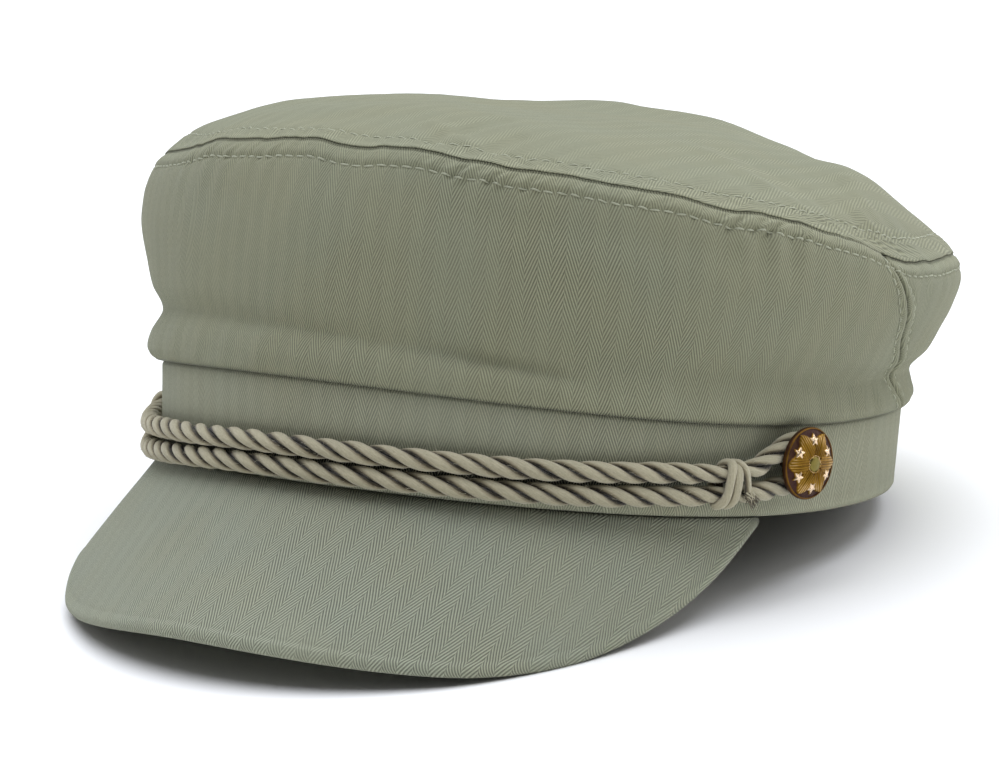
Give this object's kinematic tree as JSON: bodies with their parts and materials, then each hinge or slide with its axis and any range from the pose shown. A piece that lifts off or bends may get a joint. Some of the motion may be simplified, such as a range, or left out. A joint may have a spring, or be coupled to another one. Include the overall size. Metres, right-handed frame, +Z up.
{
  "type": "breton fisherman cap",
  "caption": "Flat-topped soft cap with a panelled crown, an upright band, a short sloping visor, a twisted cord across the front and a domed metal button at each side.",
  "frame": {"origin": "bottom centre of the whole cap's box, on the surface that the cap rests on", "axes": "+Y from the visor to the back of the head, +Z up from the surface, +X towards the wearer's left"},
  "size_m": [0.2002, 0.2596, 0.1124],
  "materials": {
    "crown_cloth": "sage green cotton herringbone twill, matt",
    "band_cloth": "sage green cotton herringbone twill over a stiff strip, matt",
    "visor_cloth": "sage green cotton herringbone twill over a stiff board, matt",
    "cord_cotton": "warm grey twisted cotton cord, matt",
    "brass": "antique, dark in the hollows and bright on the raised edges"
  },
  "bodies": {
    "root": {"crown_tip": "crown_cloth", "crown_front_panel": "crown_cloth", "crown_back_panel": "crown_cloth", "band": "band_cloth", "visor": "visor_cloth", "cord": "cord_cotton", "knot_left": "cord_cotton", "knot_right": "cord_cotton", "button_left": "brass", "button_right": "brass"}
  },
  "joints": []
}
